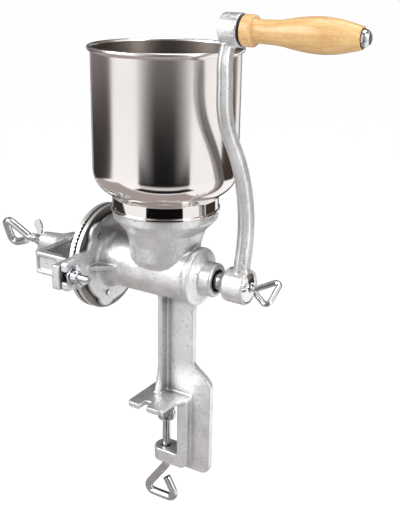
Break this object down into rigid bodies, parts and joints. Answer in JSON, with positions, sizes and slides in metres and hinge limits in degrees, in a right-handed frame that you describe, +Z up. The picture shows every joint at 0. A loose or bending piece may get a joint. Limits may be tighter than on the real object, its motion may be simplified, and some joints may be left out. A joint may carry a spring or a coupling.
{
  "type": "hand grain mill",
  "caption": "Cast hand grain mill with a table clamp, tall steel hopper, toothed grinding plates in a screw-set yoke, and a curved crank with a turned wooden grip.",
  "frame": {"origin": "on the underside of the clamp's upper jaw, where it rests on the table, straight below the hopper's axis", "axes": "+X along the barrel towards the crank, +Z up, +Y completes the right-handed frame"},
  "size_m": [0.434, 0.164, 0.5348],
  "materials": {
    "tinned_iron": "bright tinned casting with a fine grain",
    "plate_iron": "ground casting",
    "stainless": "satin stainless sheet",
    "bright_zinc": "bright zinc plate",
    "chrome": "polished",
    "shaft_steel": "turned steel",
    "beech": "varnished beech"
  },
  "bodies": {
    "frame": {"mill_body": "tinned_iron", "stationary_burr": "plate_iron", "burr_screws": "bright_zinc", "yoke": "tinned_iron", "near_yoke_bolt": "bright_zinc", "far_yoke_bolt": "bright_zinc", "near_yoke_washer": "bright_zinc", "far_yoke_washer": "bright_zinc"},
    "thrust": {"thrust_ball": "chrome"},
    "rotor": {"auger": "shaft_steel", "rotating_burr": "plate_iron", "drive_pin": "shaft_steel", "crank_arm": "tinned_iron", "handle_bolt": "bright_zinc"},
    "adjuster": {"adjusting_screw": "bright_zinc"},
    "lock_nut": {"adjuster_wing_nut": "bright_zinc"},
    "near_nut": {"near_wing_nut": "bright_zinc"},
    "far_nut": {"far_wing_nut": "bright_zinc"},
    "crank_cap": {"crank_washer": "chrome"},
    "crank_screw": {"crank_thumb_screw": "bright_zinc"},
    "grip": {"handle_grip": "beech"},
    "clamp_foot": {"clamp_pad": "bright_zinc"},
    "clamp_spindle": {"clamp_screw": "bright_zinc"},
    "funnel": {"hopper": "stainless"}
  },
  "joints": [
    {"name": "grind_setting", "type": "slide", "parent": "frame", "child": "thrust", "axis": [1, 0, 0], "range_m": [-0.0035, 0.00045]},
    {"name": "crank_turn", "type": "hinge", "parent": "thrust", "child": "rotor", "pos_m": [0, 0, 0.14], "axis": [1, 0, 0], "continuous": true},
    {"name": "adjuster_turn", "type": "hinge", "parent": "thrust", "child": "adjuster", "pos_m": [-0.15, 0, 0.14], "axis": [1, 0, 0], "range_deg": [-841, 109]},
    {"name": "lock_nut_turn", "type": "hinge", "parent": "frame", "child": "lock_nut", "pos_m": [-0.1633, 0, 0.14], "axis": [1, 0, 0], "range_deg": [-720, 0]},
    {"name": "near_nut_turn", "type": "hinge", "parent": "frame", "child": "near_nut", "pos_m": [-0.06, -0.07, 0.14], "axis": [1, 0, 0], "range_deg": [0, 720]},
    {"name": "far_nut_turn", "type": "hinge", "parent": "frame", "child": "far_nut", "pos_m": [-0.06, 0.07, 0.14], "axis": [1, 0, 0], "range_deg": [0, 720]},
    {"name": "cap_slide", "type": "slide", "parent": "rotor", "child": "crank_cap", "axis": [1, 0, 0], "range_m": [0, 0.016]},
    {"name": "thumb_turn", "type": "hinge", "parent": "crank_cap", "child": "crank_screw", "pos_m": [0.1, 0, 0.14], "axis": [1, 0, 0], "range_deg": [0, 5761]},
    {"name": "grip_turn", "type": "hinge", "parent": "rotor", "child": "grip", "pos_m": [0.15, -0.0336, 0.3835], "axis": [1, 0, 0], "continuous": true},
    {"name": "pad_lift", "type": "slide", "parent": "frame", "child": "clamp_foot", "axis": [0, 0, 1], "range_m": [-0.03, 0.008]},
    {"name": "clamp_turn", "type": "hinge", "parent": "clamp_foot", "child": "clamp_spindle", "pos_m": [0.0025, 0, -0.06], "axis": [0, 0, 1], "range_deg": [-7201, 1921]},
    {"name": "hopper_lift", "type": "slide", "parent": "frame", "child": "funnel", "axis": [0, 0, 1], "range_m": [0, 0.05]}
  ],
  "couplings": [
    {"joint": "adjuster_turn", "follows": "grind_setting", "rad_per_m": 4188.8},
    {"joint": "thumb_turn", "follows": "cap_slide", "rad_per_m": 6283.2},
    {"joint": "clamp_turn", "follows": "pad_lift", "rad_per_m": 4188.8}
  ]
}
